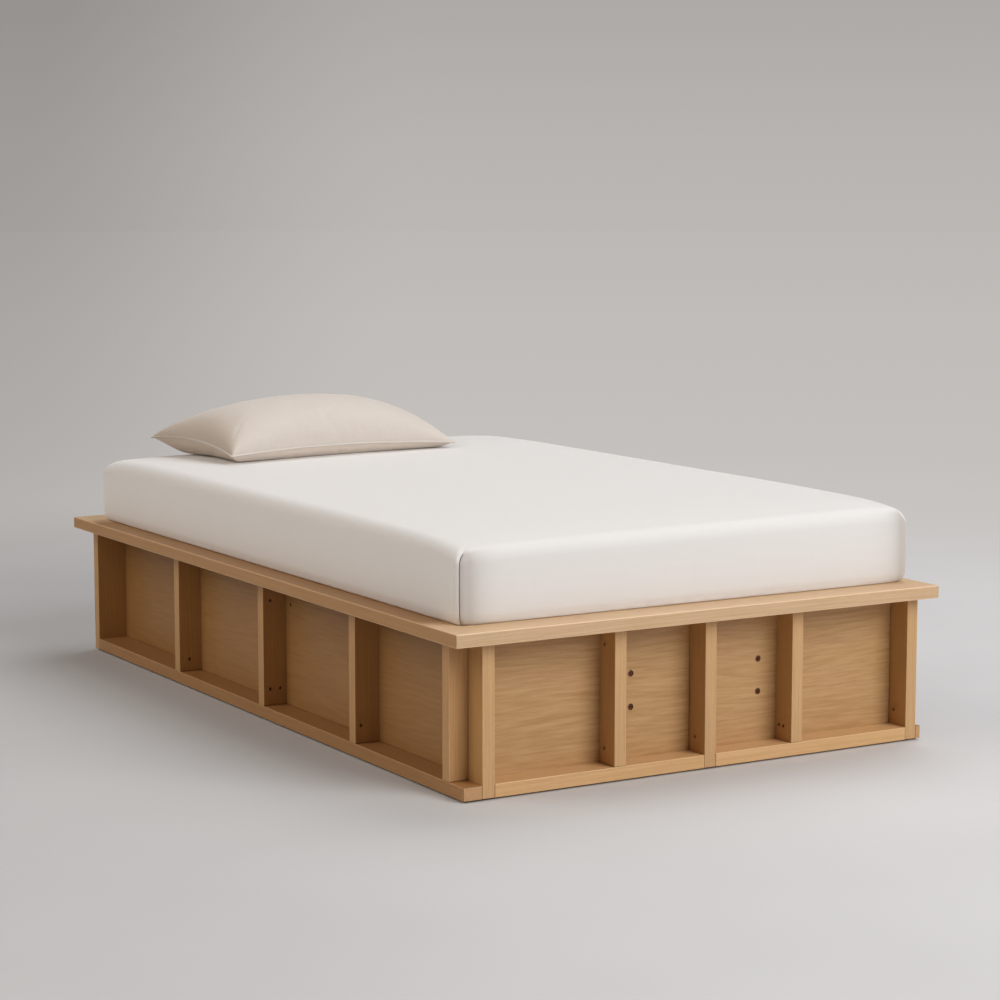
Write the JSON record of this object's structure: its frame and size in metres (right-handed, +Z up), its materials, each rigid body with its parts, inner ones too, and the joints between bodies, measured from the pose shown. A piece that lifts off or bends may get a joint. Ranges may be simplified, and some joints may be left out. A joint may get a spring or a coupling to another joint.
{
  "type": "platform storage bed",
  "caption": "Low platform bed with open storage bays along its sides and foot, an overhanging slatted deck, a mattress in a fitted cover and a pillow.",
  "frame": {"origin": "on the floor, under the middle of the deck", "axes": "+Z up, +Y from the foot to the head, +X to the right of someone who stands at the foot and looks at the head"},
  "size_m": [1.3, 2.186, 0.7207],
  "materials": {
    "deck_oak": "oiled light oak, satin",
    "frame_oak": "oiled light oak, satin",
    "panel_oak": "oiled oak veneer, satin",
    "inner_wood": "planed, unfinished",
    "dark_felt": "pressed felt",
    "bronzed_steel": "bronzed",
    "fitted_cover": "smooth woven off-white cotton",
    "pillow_linen": "oatmeal linen, piped seam"
  },
  "bodies": {
    "bed_frame": {"deck_foot_board": "deck_oak", "deck_head_board": "deck_oak", "deck_left_board": "deck_oak", "deck_right_board": "deck_oak", "foot_felt_strip": "dark_felt", "foot_left_divider": "frame_oak", "foot_left_panel": "panel_oak", "foot_left_post": "frame_oak", "foot_left_rail": "frame_oak", "foot_middle_divider": "frame_oak", "foot_right_divider": "frame_oak", "foot_right_panel": "panel_oak", "foot_right_post": "frame_oak", "foot_right_rail": "frame_oak", "head_felt_strip": "dark_felt", "head_panel": "panel_oak", "left_back_panel_1": "panel_oak", "left_back_panel_2": "panel_oak", "left_back_panel_3": "panel_oak", "left_back_panel_4": "panel_oak", "left_bottom_board": "frame_oak", "left_divider_1": "frame_oak", "left_divider_2": "frame_oak", "left_divider_3": "frame_oak", "left_felt_strip": "dark_felt", "left_foot_end_panel": "frame_oak", "left_head_end_panel": "frame_oak", "left_lower_connector_bolt": "bronzed_steel", "left_slat_ledge": "inner_wood", "left_support_board": "inner_wood", "left_upper_connector_bolt": "bronzed_steel", "right_back_panel_1": "panel_oak", "right_back_panel_2": "panel_oak", "right_back_panel_3": "panel_oak", "right_back_panel_4": "panel_oak", "right_bottom_board": "frame_oak", "right_divider_1": "frame_oak", "right_divider_2": "frame_oak", "right_divider_3": "frame_oak", "right_felt_strip": "dark_felt", "right_foot_end_panel": "frame_oak", "right_head_end_panel": "frame_oak", "right_lower_connector_bolt": "bronzed_steel", "right_slat_ledge": "inner_wood", "right_support_board": "inner_wood", "right_upper_connector_bolt": "bronzed_steel", "slat_1": "inner_wood", "slat_2": "inner_wood", "slat_3": "inner_wood", "slat_4": "inner_wood", "slat_5": "inner_wood", "slat_6": "inner_wood", "slat_7": "inner_wood", "slat_8": "inner_wood", "slat_9": "inner_wood"},
    "mattress": {"mattress": "fitted_cover"},
    "pillow": {"pillow": "pillow_linen"}
  },
  "joints": [
    {"name": "mattress_lift", "type": "slide", "parent": "bed_frame", "child": "mattress", "axis": [0, 0, 1], "range_m": [0, 0.4]},
    {"name": "pillow_lift", "type": "slide", "parent": "mattress", "child": "pillow", "axis": [0, 0, 1], "range_m": [0, 0.4]}
  ]
}
